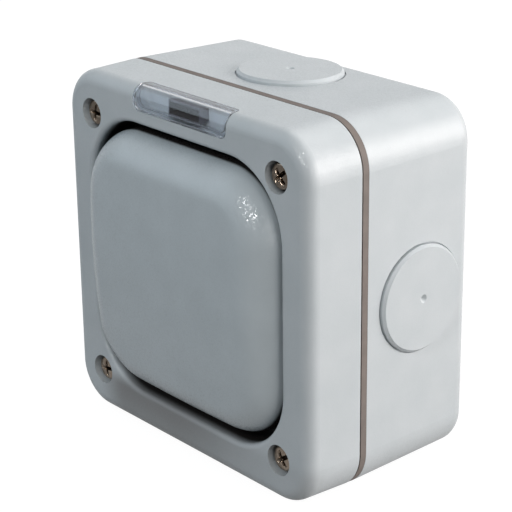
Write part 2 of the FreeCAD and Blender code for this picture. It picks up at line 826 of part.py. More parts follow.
def earth_terminal():
    floor_depth = total_depth - back_wall
    front = floor_depth - terminal_length
    low, high = earth_z - terminal_half, earth_z + terminal_half
    body = block(terminal_half, front, floor_depth, low, high, earth_x)
    wire_depth = front + wire_hole_setback
    reach = terminal_half + spare
    wire_hole = cross_rod(wire_hole_radius, earth_x - reach, earth_x + reach, wire_depth, earth_z)
    pilot = rod(terminal_pilot_radius, front - spare, wire_depth, earth_x, earth_z)
    return body.cut([wire_hole, pilot]).removeSplitter()


def earth_screw():
    front = total_depth - back_wall - terminal_length
    tip = front + wire_hole_setback - wire_hole_radius / 2
    head = rod(terminal_head_radius, front - terminal_head_height, front, earth_x, earth_z)
    shank = rod(terminal_screw_radius, front, tip, earth_x, earth_z)
    slot = block(
        terminal_head_radius, front - terminal_head_height, front - terminal_head_height + slot_depth,
        earth_z - slot_width / 2, earth_z + slot_width / 2, earth_x,
    )
    return head.fuse(shank).cut(slot).removeSplitter()


nodes = {
    "back_box": back_box,
    "lid_gasket": lid_gasket,
    "front_cover": front_cover,
    "cover_screws": cover_screws,
    "screw_seals": screw_seals,
    "threaded_inserts": threaded_inserts,
    "rocker": rocker,
    "indicator_lens": indicator_lens,
    "indicator_holder": indicator_holder,
    "indicator_lamp": indicator_lamp,
    "lever_boot": lever_boot,
    "dolly": dolly,
    "dolly_pin": dolly_pin,
    "plunger": plunger,
    "plunger_spring": plunger_spring,
    "switch_frame": switch_frame,
    "switch_base": switch_base,
    "contact_arm": contact_arm,
    "common_terminal": common_terminal,
    "upper_terminal": lambda: outer_terminal(1),
    "lower_terminal": lambda: outer_terminal(-1),
    "terminal_screws": terminal_screws,
    "module_screws": module_screws,
    "earth_terminal": earth_terminal,
    "earth_screw": earth_screw,
}

os.makedirs("parts", exist_ok=True)
for name, make in nodes.items():
    shape = make()
    shape.exportStep("parts/" + name + ".step")
    print(name, len(shape.Solids), "solids", round(shape.Volume, 1), "mm3", shape.isValid())
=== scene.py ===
import bmesh
import bpy
import json
import math
from mathutils import Matrix, Vector


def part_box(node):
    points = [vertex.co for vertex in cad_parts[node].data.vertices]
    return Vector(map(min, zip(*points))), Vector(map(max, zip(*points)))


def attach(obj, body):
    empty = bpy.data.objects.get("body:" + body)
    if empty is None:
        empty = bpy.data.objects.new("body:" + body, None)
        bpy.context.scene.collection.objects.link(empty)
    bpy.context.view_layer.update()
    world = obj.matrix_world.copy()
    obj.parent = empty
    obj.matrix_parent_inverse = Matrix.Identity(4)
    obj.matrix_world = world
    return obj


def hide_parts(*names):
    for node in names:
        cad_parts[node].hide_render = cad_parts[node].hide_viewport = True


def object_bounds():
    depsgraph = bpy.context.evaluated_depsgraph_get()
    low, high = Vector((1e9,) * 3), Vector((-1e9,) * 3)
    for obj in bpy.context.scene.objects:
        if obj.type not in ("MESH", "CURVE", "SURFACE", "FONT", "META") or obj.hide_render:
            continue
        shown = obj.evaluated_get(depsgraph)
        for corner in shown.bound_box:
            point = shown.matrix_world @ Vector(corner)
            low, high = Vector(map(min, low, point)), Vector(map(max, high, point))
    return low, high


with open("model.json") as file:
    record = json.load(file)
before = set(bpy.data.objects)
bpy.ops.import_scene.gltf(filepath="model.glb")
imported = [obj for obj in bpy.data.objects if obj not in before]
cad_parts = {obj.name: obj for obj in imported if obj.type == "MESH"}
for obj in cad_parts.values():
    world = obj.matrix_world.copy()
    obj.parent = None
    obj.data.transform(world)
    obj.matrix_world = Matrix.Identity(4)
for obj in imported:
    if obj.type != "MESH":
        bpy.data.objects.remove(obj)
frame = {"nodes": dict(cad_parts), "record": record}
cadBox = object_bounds()
mm = 0.001

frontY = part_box("front_cover")[0][1]  # front plane of the cover, the wall is at y = 0


def hexToLinear(code):
    channels = [int(code[i:i + 2], 16) / 255 for i in (1, 3, 5)]
    linear = [c / 12.92 if c <= 0.04045 else ((c + 0.055) / 1.055) ** 2.4 for c in channels]
    return (linear[0], linear[1], linear[2], 1.0)


def addNode(tree, kind, values=None, links=None, **settings):
    node = tree.nodes.new(kind)
    for name, value in settings.items():
        setattr(node, name, value)
    for socket, value in (values or {}).items():
        node.inputs[socket].default_value = value
    for socket, source in (links or {}).items():
        tree.links.new(source, node.inputs[socket])
    return node


def newMaterial(name):
    material = bpy.data.materials.new(name)
    material.use_nodes = True
    material.node_tree.nodes.clear()
    return material, material.node_tree


# 1 inside a box given by its middle and half sizes in mm, 0 outside it
def boxShare(tree, axes, middle, half):
    within = None
    for axis, at, reach in zip("XYZ", middle, half):
        share = addNode(
            tree, "ShaderNodeMath", {1: at * mm, 2: reach * mm}, {0: axes.outputs[axis]}, operation="COMPARE",
        ).outputs[0]
        if within is not None:
            share = addNode(
                tree, "ShaderNodeMath", links={0: within, 1: share}, operation="MULTIPLY"
            ).outputs[0]
        within = share
    return within


# Smooth fades multiplied together; each is (axis, from mm, to mm, share before, share after),
# and Y counts from the front plane
def fadeShare(tree, axes, fades):
    faded = None
    for axis, startMm, endMm, before, after in fades:
        origin = frontY if axis == "Y" else 0.0
        share = addNode(
            tree, "ShaderNodeMapRange",
            {"From Min": origin + startMm * mm, "From Max": origin + endMm * mm,
             "To Min": before, "To Max": after},
            {"Value": axes.outputs[axis]}, interpolation_type="SMOOTHSTEP",
        ).outputs["Result"]
        if faded is not None:
            share = addNode(
                tree, "ShaderNodeMath", links={0: faded, 1: share}, operation="MULTIPLY"
            ).outputs[0]
        faded = share
    return faded


# Moulded polycarbonate: even light grey and satin. The spark-eroded mould leaves a fine grain on its glossy
# skin, which breaks a small highlight up into speckle. The grain is drawn coarser than real so that it shows.
# Painted shade darkens the gap around the rocker, and a faint painted shadow lies on the rim below it.
housingLook = {
    "light": "#C4CACD", "dark": "#BEC5C8", "mottleMm": 9.0, "mottleDetail": 3.0,
    "mottleLow": 0.3, "mottleHigh": 0.7, "grainMm": 0.36, "grainDetail": 0.5, "grainDepthMm": 0.012,
    "grainLow": 0.35, "grainHigh": 0.65, "roughLow": 0.42, "roughHigh": 0.54, "ior": 1.585, "specular": 0.25,
    "facetMm": 0.27, "facetTilt": 0.32, "skinWeight": 0.4, "skinRoughness": 0.22,
    "paintedShade": "#1F1C1B", "shadeStartMm": 0.3, "shadeFullMm": 3.3, "paintedShadow": "#6C6866",
}
rockerLook = dict(  # the same moulding, a little bluer and glossier; its painted shade starts deeper in the gap, and it has no painted shadow
    housingLook, light="#BFC8CC", dark="#B9C2C6", skinWeight=0.9, shadeStartMm=1.4, shadeFullMm=2.4,
    paintedShadow="#BFC8CC",
)
moduleLook = dict(  # urea of the switch module: off-white and a little smoother, with no painted shade or shadow on it
    housingLook, light="#E6E5E0", dark="#DAD9D3", roughLow=0.35, roughHigh=0.5, paintedShade="#DAD9D3",
    paintedShadow="#DAD9D3",
)
# Where the painted shade and the painted shadow lie: the gap of the rocker's well, and the rim below the
# rocker
paintedShadePlace = {
    "wellHalfMm": 34.4, "wellDepthMm": 14.0,
    "shadowFades": (
        ("Z", -34.5, -30.5, 0.75, 0.0),  # only below the rocker
        ("Z", -44.0, -34.0, 0.7, 1.0),  # thinner towards the outer edge
        ("X", -36.0, -24.0, 0.0, 1.0),  # none at the left end
        ("X", -6.0, 34.0, 1.0, 0.2),  # thin at the right end
        ("Y", 1.5, 6.0, 1.0, 0.0),  # only at the front
    ),
}


# Sockets 6 and 7 of a colour Mix are its two colours, and output 2 is the result
# Paints shade into the colour: near black deep in the well around the rocker, and a painted shadow on the rim
# below it
def paintShadeAndShadow(tree, place, clean, look):
    axes = addNode(tree, "ShaderNodeSeparateXYZ", links={"Vector": place})
    wellHalf, depthHalf = paintedShadePlace["wellHalfMm"], paintedShadePlace["wellDepthMm"] / 2
    inWell = boxShare(tree, axes, (0, frontY / mm + depthHalf, 0), (wellHalf, depthHalf, wellHalf))
    deep = fadeShare(tree, axes, [("Y", look["shadeStartMm"], look["shadeFullMm"], 0.0, 1.0)])
    gapShade = addNode(tree, "ShaderNodeMath", links={0: inWell, 1: deep}, operation="MULTIPLY")
    shadowed = addNode(
        tree, "ShaderNodeMix", {7: hexToLinear(look["paintedShadow"])},
        {0: fadeShare(tree, axes, paintedShadePlace["shadowFades"]), 6: clean}, data_type="RGBA",
    )
    return addNode(
        tree, "ShaderNodeMix", {7: hexToLinear(look["paintedShade"])},
        {0: gapShade.outputs[0], 6: shadowed.outputs[2]}, data_type="RGBA",
    ).outputs[2]


# Each grain of the skin is a small mirror with a tilt of its own, drawn from the colour of its cell
def facetedSkin(tree, place, look):
    grains = addNode(
        tree, "ShaderNodeTexVoronoi", {"Scale": 1 / (look["facetMm"] * mm)}, {"Vector": place}
    )
    centred = addNode(
        tree, "ShaderNodeVectorMath", {1: (0.5, 0.5, 0.5)}, {0: grains.outputs["Color"]},
        operation="SUBTRACT",
    )
    tilt = addNode(
        tree, "ShaderNodeVectorMath", {"Scale": look["facetTilt"]}, {0: centred.outputs["Vector"]},
        operation="SCALE",
    )
    upright = addNode(tree, "ShaderNodeNewGeometry").outputs["Normal"]
    leaning = addNode(
        tree, "ShaderNodeVectorMath", links={0: upright, 1: tilt.outputs["Vector"]}, operation="ADD"
    )
    return addNode(
        tree, "ShaderNodeVectorMath", links={0: leaning.outputs["Vector"]}, operation="NORMALIZE"
    ).outputs["Vector"]


def mouldedPlastic(name, look):
    material, tree = newMaterial(name)
    place = addNode(tree, "ShaderNodeTexCoord").outputs["Object"]
    mottle = addNode(
        tree, "ShaderNodeTexNoise",
        {"Scale": 1 / (look["mottleMm"] * mm), "Detail": look["mottleDetail"]}, {"Vector": place},
    )
    ramp = addNode(tree, "ShaderNodeValToRGB", links={"Fac": mottle.outputs["Fac"]})
    ramp.color_ramp.elements[0].color = hexToLinear(look["dark"])
    ramp.color_ramp.elements[0].position = look["mottleLow"]
    ramp.color_ramp.elements[1].color = hexToLinear(look["light"])
    ramp.color_ramp.elements[1].position = look["mottleHigh"]
    grain = addNode(
        tree, "ShaderNodeTexNoise",
        {"Scale": 1 / (look["grainMm"] * mm), "Detail": look["grainDetail"]}, {"Vector": place},
    )
    rough = addNode(
        tree, "ShaderNodeMapRange",
        {"From Min": look["grainLow"], "From Max": look["grainHigh"],
         "To Min": look["roughLow"], "To Max": look["roughHigh"]},
        {"Value": grain.outputs["Fac"]},
    )
    base = addNode(
        tree, "ShaderNodeBump", {"Distance": look["grainDepthMm"] * mm}, {"Height": grain.outputs["Fac"]}
    )
    # the colour with the painted shade in the gap and the painted shadow below the rocker
    shadedColor = paintShadeAndShadow(tree, place, ramp.outputs["Color"], look)
    shader = addNode(
        tree, "ShaderNodeBsdfPrincipled",
        {"IOR": look["ior"], "Specular IOR Level": look["specular"], "Coat Weight": look["skinWeight"],
         "Coat Roughness": look["skinRoughness"], "Coat IOR": look["ior"]},
        {"Base Color": shadedColor, "Roughness": rough.outputs["Result"],
         "Normal": base.outputs["Normal"], "Coat Normal": facetedSkin(tree, place, look)},
    )
    addNode(tree, "ShaderNodeOutputMaterial", links={"Surface": shader.outputs[0]})
    return material


# EPDM rubber: moulded, matt brown-grey with a dusty bloom
rubberLook = {
    "deep": "#68605B", "bloom": "#837973", "bloomMm": 2.5, "bloomDetail": 4.0, "roughness": 0.72,
    "ior": 1.52, "skinMm": 0.25, "skinDepthMm": 0.02, "skinStrength": 0.3,
}


def sealRubber(name, look):
    material, tree = newMaterial(name)
    place = addNode(tree, "ShaderNodeTexCoord").outputs["Object"]
    bloom = addNode(
        tree, "ShaderNodeTexNoise",
        {"Scale": 1 / (look["bloomMm"] * mm), "Detail": look["bloomDetail"]}, {"Vector": place},
    )
    ramp = addNode(tree, "ShaderNodeValToRGB", links={"Fac": bloom.outputs["Fac"]})
    ramp.color_ramp.elements[0].color = hexToLinear(look["deep"])
    ramp.color_ramp.elements[1].color = hexToLinear(look["bloom"])
    skin = addNode(tree, "ShaderNodeTexNoise", {"Scale": 1 / (look["skinMm"] * mm)}, {"Vector": place})
    bump = addNode(
        tree, "ShaderNodeBump", {"Strength": look["skinStrength"], "Distance": look["skinDepthMm"] * mm},
        {"Height": skin.outputs["Fac"]},
    )
    shader = addNode(
        tree, "ShaderNodeBsdfPrincipled", {"Roughness": look["roughness"], "IOR": look["ior"]},
        {"Base Color": ramp.outputs["Color"], "Normal": bump.outputs["Normal"]},
    )
    addNode(tree, "ShaderNodeOutputMaterial", links={"Surface": shader.outputs[0]})
    return material


# Nickel-plated steel and drawn brass: turned or pressed, with streaks along Y and a little tarnish, and
# painted shade in a screw's recess. The streaks are drawn coarser than real ones so that they show.
nickelLook = {
    "bright": "#B9A999", "dull": "#6E5F52", "recessShade": "#1E140C", "streakMm": 0.12, "stretch": 8.0,
    "streakDetail": 3.0, "dullUpTo": 0.25, "brightFrom": 0.6, "roughDull": 0.34, "roughBright": 0.14,
}
brassLook = dict(
    nickelLook, bright="#D9B466", dull="#A07C3C", recessShade="#4A3818", streakMm=0.2, stretch=6.0,
    roughDull=0.46, roughBright=0.26,
)


def drawnMetal(name, look):
    material, tree = newMaterial(name)
    place = addNode(tree, "ShaderNodeTexCoord").outputs["Object"]
    mapped = addNode(
        tree, "ShaderNodeMapping", {"Scale": (1.0, 1.0 / look["stretch"], 1.0)}, {"Vector": place}
    )
    streak = addNode(
        tree, "ShaderNodeTexNoise",
        {"Scale": 1 / (look["streakMm"] * mm), "Detail": look["streakDetail"]},
        {"Vector": mapped.outputs["Vector"]},
    )
    ramp = addNode(tree, "ShaderNodeValToRGB", links={"Fac": streak.outputs["Fac"]})
    ramp.color_ramp.elements[0].color = hexToLinear(look["dull"])
    ramp.color_ramp.elements[0].position = look["dullUpTo"]
    ramp.color_ramp.elements[1].color = hexToLinear(look["bright"])
    ramp.color_ramp.elements[1].position = look["brightFrom"]
    rough = addNode(
        tree, "ShaderNodeMapRange", {"To Min": look["roughDull"], "To Max": look["roughBright"]},
        {"Value": streak.outputs["Fac"]},
    )
    recess = addNode(tree, "ShaderNodeAttribute", attribute_name="recess")  # only the cover screws carry it
    # painted shade: the metal darkens to near black on the floor of the recess
    recessShaded = addNode(
        tree, "ShaderNodeMix", {7: hexToLinear(look["recessShade"])},
        {0: recess.outputs["Fac"], 6: ramp.outputs["Color"]}, data_type="RGBA",
    )
    shader = addNode(
        tree, "ShaderNodeBsdfPrincipled", {"Metallic": 1.0},
        {"Base Color": recessShaded.outputs[2], "Roughness": rough.outputs["Result"]},
    )
    addNode(tree, "ShaderNodeOutputMaterial", links={"Surface": shader.outputs[0]})
    return material


# Clear polycarbonate and lamp glass: polished, with faint flow ripples from moulding or drawing. The tint is
# what is seen through them, and the shade is what they leave of the light that falls through.
lensLook = {
    "tint": "#E3E6EA", "shade": "#D0D3D8", "roughness": 0.04, "ior": 1.585,
    "rippleMm": 3.0, "rippleDepthMm": 0.02, "rippleStrength": 0.2,
}
# The lamp glass is tinted dark grey as painted shade in the chamber around it.
lampLook = {
    "tint": "#8F8A83", "shade": "#A09B94", "roughness": 0.02, "ior": 1.5,
    "rippleMm": 1.0, "rippleDepthMm": 0.005, "rippleStrength": 0.2,
}


def clearMaterial(name, look):
    material, tree = newMaterial(name)
    place = addNode(tree, "ShaderNodeTexCoord").outputs["Object"]
    ripple = addNode(tree, "ShaderNodeTexNoise", {"Scale": 1 / (look["rippleMm"] * mm)}, {"Vector": place})
    bump = addNode(
        tree, "ShaderNodeBump",
        {"Strength": look["rippleStrength"], "Distance": look["rippleDepthMm"] * mm},
        {"Height": ripple.outputs["Fac"]},
    )
    shader = addNode(
        tree, "ShaderNodeBsdfPrincipled",
        {"Base Color": hexToLinear(look["tint"]), "Roughness": look["roughness"], "IOR": look["ior"],
         "Transmission Weight": 1.0},
        {"Normal": bump.outputs["Normal"]},
    )
    rays = addNode(tree, "ShaderNodeLightPath")
    shade = addNode(tree, "ShaderNodeBsdfTransparent", {"Color": hexToLinear(look["shade"])})
    lit = addNode(
        tree, "ShaderNodeMixShader",
        links={0: rays.outputs["Is Shadow Ray"], 1: shader.outputs[0], 2: shade.outputs[0]},
    )
    addNode(tree, "ShaderNodeOutputMaterial", links={"Surface": lit.outputs[0]})
    return material


# Moulded nylon lamp holder: dark grey and satin outside, with painted shade blackening the chamber around the
# lamp
holderLook = {
    "outside": "#4C4B54", "chamberShade": "#141318", "roughness": 0.38, "ior": 1.53, "skinMm": 0.3,
    "skinDepthMm": 0.01, "skinStrength": 0.4, "chamberMiddleMm": (0.0, 0.0, 39.3),
    "chamberHalfMm": (5.12, 100.0, 1.22),  # as deep as the part
}


def lampHolderNylon(name, look):
    material, tree = newMaterial(name)
    place = addNode(tree, "ShaderNodeTexCoord").outputs["Object"]
    axes = addNode(tree, "ShaderNodeSeparateXYZ", links={"Vector": place})
    # painted shade: near black inside the chamber's box
    within = boxShare(tree, axes, look["chamberMiddleMm"], look["chamberHalfMm"])
    ramp = addNode(tree, "ShaderNodeValToRGB", links={"Fac": within})
    ramp.color_ramp.elements[0].color = hexToLinear(look["outside"])
    ramp.color_ramp.elements[1].color = hexToLinear(look["chamberShade"])
    skin = addNode(tree, "ShaderNodeTexNoise", {"Scale": 1 / (look["skinMm"] * mm)}, {"Vector": place})
    bump = addNode(
        tree, "ShaderNodeBump", {"Strength": look["skinStrength"], "Distance": look["skinDepthMm"] * mm},
        {"Height": skin.outputs["Fac"]},
    )
    shader = addNode(
        tree, "ShaderNodeBsdfPrincipled", {"Roughness": look["roughness"], "IOR": look["ior"]},
        {"Base Color": ramp.outputs["Color"], "Normal": bump.outputs["Normal"]},
    )
    addNode(tree, "ShaderNodeOutputMaterial", links={"Surface": shader.outputs[0]})
    return material


housingPlastic = mouldedPlastic("moulded_polycarbonate_grey", housingLook)
rockerPlastic = mouldedPlastic("moulded_polycarbonate_rocker", rockerLook)
holderPlastic = lampHolderNylon("moulded_nylon_grey", holderLook)
modulePlastic = mouldedPlastic("moulded_urea_white", moduleLook)
gasketRubber = sealRubber("epdm_rubber_brown_grey", rubberLook)
nickelSteel = drawnMetal("nickel_plated_steel", nickelLook)
bareBrass = drawnMetal("drawn_brass", brassLook)
clearPlastic = clearMaterial("clear_polycarbonate", lensLook)
lampGlass = clearMaterial("drawn_lamp_glass", lampLook)
print("materials made")

finishOfSlot = {
    "housing_plastic": housingPlastic, "rocker_plastic": rockerPlastic, "holder_plastic": holderPlastic,
    "module_plastic": modulePlastic, "seal_rubber": gasketRubber, "plated_steel": nickelSteel,
    "brass": bareBrass, "clear_plastic": clearPlastic, "lamp_glass": lampGlass,
}
for subpart in frame["record"]["subparts"]:
    mesh = frame["nodes"][subpart["node"]].data
    mesh.materials.clear()
    mesh.materials.append(finishOfSlot[subpart["material_slot"]])
print("finishes set on the solids")

# Cover screw: pan head with a cross recess and a fine helical thread, axis along +Y, head at -Y
screw = {
    "headRadiusMm": 3.0, "headHeightMm": 2.6, "crownMm": 0.3, "edgeMm": 0.5, "shankRadiusMm": 1.6,
    "threadDepthMm": 0.22, "threadPitchMm": 0.7, "crossRadiusMm": 2.1, "crossHalfMm": 0.5,
    "crossDepthMm": 1.3, "crossSlopeMm": 0.18, "crossTaper": 0.45, "headRings": 30, "around": 96,
    "turnRows": 6, "pitchMm": 65.2, "sinkMm": 0.9, "turnSeed": 4,
}


# Depth of the cross recess, 0 on the head and 1 on the recess floor, as its arms rise towards their ends
def crossShare(radius, angle):
    x, z = abs(radius * math.cos(angle)), abs(radius * math.sin(angle))
    wall = (screw["crossHalfMm"] - min(x, z)) / screw["crossSlopeMm"]
    slope = (screw["crossRadiusMm"] - max(x, z)) / (screw["crossTaper"] * screw["crossRadiusMm"])
    return max(min(wall, 1.0), 0.0) * max(min(slope, 1.0), 0.0)


def headHeight(radius, angle):
    share = radius / screw["headRadiusMm"]
    height = screw["crownMm"] * share ** 2
    fromEdge = screw["headRadiusMm"] - radius
    if fromEdge < screw["edgeMm"]:
        inward = screw["edgeMm"] - fromEdge
        height += screw["edgeMm"] - math.sqrt(max(screw["edgeMm"] ** 2 - inward ** 2, 0.0))
    return height + screw["crossDepthMm"] * crossShare(radius, angle)


def screwMesh():
    shape = bmesh.new()
    around = screw["around"]
    shankAround = around // 3  # under the head, three points of its rim meet one of the shank
    rows = []
    recess = shape.verts.layers.float.new("recess")  # the metal's painted shade follows it
    crown = shape.verts.new((0, headHeight(0, 0) * mm, 0))
    crown[recess] = 1.0
    for ring in range(1, screw["headRings"] + 1):
        radius = screw["headRadiusMm"] * math.sin(0.5 * math.pi * ring / screw["headRings"])
        row = []
        for step in range(around):
            angle = 2 * math.pi * step / around
            point = Vector((radius * math.cos(angle), headHeight(radius, angle), radius * math.sin(angle)))
            row.append(shape.verts.new(point * mm))
            row[-1][recess] = crossShare(radius, angle)
        rows.append(row)
    screwLow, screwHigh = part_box("cover_screws")
    threadLength = (screwHigh[1] - screwLow[1]) / mm - screw["headHeightMm"]
    threadRows = int(threadLength / screw["threadPitchMm"] * screw["turnRows"])
    levels = [(screw["headRadiusMm"], screw["headHeightMm"], 0.0)]
    for level in range(threadRows + 1):
        along = screw["headHeightMm"] + threadLength * level / threadRows
        levels.append((screw["shankRadiusMm"], along, screw["threadDepthMm"]))
    for radius, along, ridge in levels:
        row = []
        for step in range(shankAround):
            angle = 2 * math.pi * step / shankAround
            phase = (along / screw["threadPitchMm"] - step / shankAround) % 1.0
            r = radius - ridge * abs(2 * phase - 1)
            row.append(shape.verts.new(Vector((r * math.cos(angle), along, r * math.sin(angle))) * mm))
        rows.append(row)
    for step in range(around):
        shape.faces.new((crown, rows[0][step], rows[0][(step + 1) % around]))
    for upper, lower in zip(rows, rows[1:]):
        if len(upper) == len(lower):
            for step in range(len(upper)):
                after = (step + 1) % len(upper)
                shape.faces.new((upper[step], lower[step], lower[after], upper[after]))
        else:
            for step in range(len(lower)):
                after = (step + 1) % len(lower)
                first, second, third = upper[3 * step:3 * step + 3]
                shape.faces.new((first, second, lower[step]))
                shape.faces.new((second, third, lower[step]))
                shape.faces.new((third, upper[3 * after], lower[after], lower[step]))
    shape.faces.new(rows[-1])
    bmesh.ops.recalc_face_normals(shape, faces=shape.faces)
    mesh = bpy.data.meshes.new("screwBlank")
    shape.to_mesh(mesh)
    shape.free()
    for face in mesh.polygons:
        face.use_smooth = True
    return mesh


def screwTree(blank):
    tree = bpy.data.node_groups.new("coverScrewPattern", "GeometryNodeTree")
    for name, kind in (("Pitch", "Float"), ("Head Place", "Float"), ("Turn Seed", "Int")):
        tree.interface.new_socket(name, in_out="INPUT", socket_type="NodeSocket" + kind)
    tree.interface.new_socket("Geometry", in_out="OUTPUT", socket_type="NodeSocketGeometry")
    given = addNode(tree, "NodeGroupInput")
    corners = addNode(
        tree, "GeometryNodeMeshGrid", {"Vertices X": 2, "Vertices Y": 2},
        {"Size X": given.outputs["Pitch"], "Size Y": given.outputs["Pitch"]},
    )
    seat = addNode(tree, "ShaderNodeCombineXYZ", links={"Y": given.outputs["Head Place"]})
    upright = addNode(
        tree, "GeometryNodeTransform", {"Rotation": (math.pi / 2, 0, 0)},
        {"Geometry": corners.outputs["Mesh"], "Translation": seat.outputs["Vector"]},
    )
    turn = addNode(
        tree, "FunctionNodeRandomValue", {"Min": (0, 0, 0), "Max": (0, math.pi / 2, 0)},
        {"Seed": given.outputs["Turn Seed"]}, data_type="FLOAT_VECTOR",
    )
    blankShape = addNode(tree, "GeometryNodeObjectInfo", {"Object": blank})
    placed = addNode(
        tree, "GeometryNodeInstanceOnPoints",
        links={"Points": upright.outputs["Geometry"], "Instance": blankShape.outputs["Geometry"],
               "Rotation": turn.outputs["Value"]},
    )
    solid = addNode(tree, "GeometryNodeRealizeInstances", links={"Geometry": placed.outputs["Instances"]})
    finished = addNode(
        tree, "GeometryNodeSetMaterial", {"Material": nickelSteel}, {"Geometry": solid.outputs["Geometry"]}
    )
    addNode(tree, "NodeGroupOutput", links={"Geometry": finished.outputs["Geometry"]})
    return tree


def linkObject(name, data):
    piece = bpy.data.objects.new(name, data)
    bpy.context.scene.collection.objects.link(piece)
    return piece


# The result of a node tree as a plain mesh piece
def bakeNodes(name, tree, values):
    carrier = linkObject(name + "Carrier", bpy.data.meshes.new(name + "Carrier"))
    pattern = carrier.modifiers.new("pattern", "NODES")
    pattern.node_group = tree
    for socket in tree.interface.items_tree:
        if socket.name in values:
            pattern[socket.identifier] = values[socket.name]
    ready = carrier.evaluated_get(bpy.context.evaluated_depsgraph_get())
    mesh = bpy.data.meshes.new_from_object(ready)
    bpy.data.objects.remove(carrier)
    return linkObject(name, mesh)


blank = linkObject("screwBlank", screwMesh())
coverScrews = bakeNodes("panHeadScrews", screwTree(blank), {
    "Pitch": screw["pitchMm"] * mm, "Head Place": frontY + screw["sinkMm"] * mm,
    "Turn Seed": screw["turnSeed"],
})
bpy.data.objects.remove(blank)
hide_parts("cover_screws")
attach(coverScrews, "enclosure")
print("cover screws placed")

# Indicator window: clear moulding that wraps the top front edge, a thin face with a thicker rim behind it
window = {
    "edgeMm": 3.2, "topDraft": 1.66, "cornerMm": 2.0, "faceMm": 1.0, "rimMm": 0.9, "rimDeepMm": 2.1,
    "rimTopMm": 1.5, "rows": 36, "columns": 24, "bevelMm": 0.12, "bevelSegments": 3, "sharpDegrees": 35.0,
}
windowLow, windowHigh = [Vector(corner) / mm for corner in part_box("indicator_lens")]
topSlope = math.radians(window["topDraft"])
windowDepth = windowHigh.y - windowLow.y
topRise = math.tan(topSlope) * (windowDepth - window["edgeMm"])
bendZ = windowHigh.z - topRise - window["edgeMm"] / math.cos(topSlope)
faceRun = bendZ - windowLow.z  # upright face, then the bend over the edge, then the top
bendRun = window["edgeMm"] * (math.pi / 2 - topSlope)
topRun = (windowDepth - window["edgeMm"] * (1 - math.sin(topSlope))) / math.cos(topSlope)
windowRun = faceRun + bendRun + topRun


# A point by its run along the outside, up the face and back over the top, its place across and its depth
def windowPoint(run, across, inward):
    radius = window["edgeMm"] - inward
    angle = min(max(run - faceRun, 0.0), bendRun) / window["edgeMm"]
    beyond = max(run - faceRun - bendRun, 0.0)
    depth = window["edgeMm"] - radius * math.cos(angle) + beyond * math.cos(topSlope)
    height = bendZ + radius * math.sin(angle) + beyond * math.sin(topSlope) - max(faceRun - run, 0.0)
    return Vector((across, windowLow.y + depth, height)) * mm


def windowSheet(inset):
    corner = window["cornerMm"]
    rows = []
    for row in range(window["rows"] + 1):
        along = (1 - math.cos(math.pi * row / window["rows"])) / 2
        fromEnd = min(along, 1 - along) * (windowRun - 2 * inset)
        half = windowHigh.x - inset
        if fromEnd < corner:
            half += math.sqrt(corner ** 2 - (corner - fromEnd) ** 2) - corner
        run = inset + along * (windowRun - 2 * inset)
        steps = range(window["columns"] + 1)
        rows.append([(run, half * math.sin(math.pi * (step / window["columns"] - 0.5))) for step in steps])
    return rows


def sheetEdge(rows):
    return rows[0] + [row[-1] for row in rows[1:-1]] + rows[-1][::-1] + [row[0] for row in rows[-2:0:-1]]


def rimDepth(run):
    share = min(max((run - faceRun) / bendRun, 0.0), 1.0)
    return window["rimDeepMm"] + (window["rimTopMm"] - window["rimDeepMm"]) * share


def windowMesh():
    shape = bmesh.new()
    outer = windowSheet(0.0)
    inner = windowSheet(window["rimMm"])
    face = [[shape.verts.new(windowPoint(run, x, 0.0)) for run, x in row] for row in outer]
    back = [[shape.verts.new(windowPoint(run, x, window["faceMm"])) for run, x in row] for row in inner]
    loops = [sheetEdge(face)]
    for edge in (sheetEdge(outer), sheetEdge(inner)):
        loops.append([shape.verts.new(windowPoint(run, x, rimDepth(run))) for run, x in edge])
    loops.append(sheetEdge(back))
    for rows in (face, back):
        for upper, lower in zip(rows, rows[1:]):
            for step in range(window["columns"]):
                shape.faces.new((upper[step], upper[step + 1], lower[step + 1], lower[step]))
    for near, far in zip(loops, loops[1:]):
        for step in range(len(near)):
            after = (step + 1) % len(near)
            shape.faces.new((near[step], near[after], far[after], far[step]))
    bmesh.ops.recalc_face_normals(shape, faces=shape.faces)
    sharp = [e for e in shape.edges if e.calc_face_angle(0.0) > math.radians(window["sharpDegrees"])]
    bmesh.ops.bevel(
        shape, geom=sharp, offset=window["bevelMm"] * mm, segments=window["bevelSegments"], profile=0.5,
        affect="EDGES",
    )
    mesh = bpy.data.meshes.new("indicatorWindow")
    shape.to_mesh(mesh)
    shape.free()
    for polygon in mesh.polygons:
        polygon.use_smooth = True
    mesh.set_sharp_from_angle(angle=math.radians(window["sharpDegrees"]))
    mesh.materials.append(clearPlastic)
    return mesh


indicatorWindow = linkObject("indicatorWindow", windowMesh())
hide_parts("indicator_lens")
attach(indicatorWindow, "enclosure")
print("indicator window placed")

# Studio: white floor and surround, a large softbox behind the right side, weaker ones at the right and above,
# a bluish fill in front, and a small key lamp that makes the speckle on the rocker
studio = {
    "floorSizeM": 6.0, "floorGapMm": 0.2, "floorGlow": 0.95, "floorTone": "#666666",
    "worldLight": 0.12, "worldTint": "#E2EDF6", "frontDim": 0.12, "floorDimM": 0.15, "skyDim": 0.4,
}
softboxes = [
    {"name": "sideSoftbox", "placeM": (1.20, 1.08, 0.20), "sizeM": 1.4, "power": 40.0, "tint": "#FFF9F6"},
    {"name": "rightSoftbox", "placeM": (1.20, 0.00, 0.05), "sizeM": 1.1, "power": 9.2, "tint": "#FFFCFA"},
    {"name": "topSoftbox", "placeM": (-0.15, 0.50, 1.10), "sizeM": 0.9, "power": 4.6, "tint": "#FFFCFA"},
    {"name": "frontSoftbox", "placeM": (-0.42, -0.47, 0.32), "sizeM": 0.6, "power": 1.32, "tint": "#DCEAF5"},
    {"name": "keySoftbox", "placeM": (0.27, -0.79, 0.55), "sizeM": 0.1, "power": 2.8, "tint": "#FFFFFF"},
]


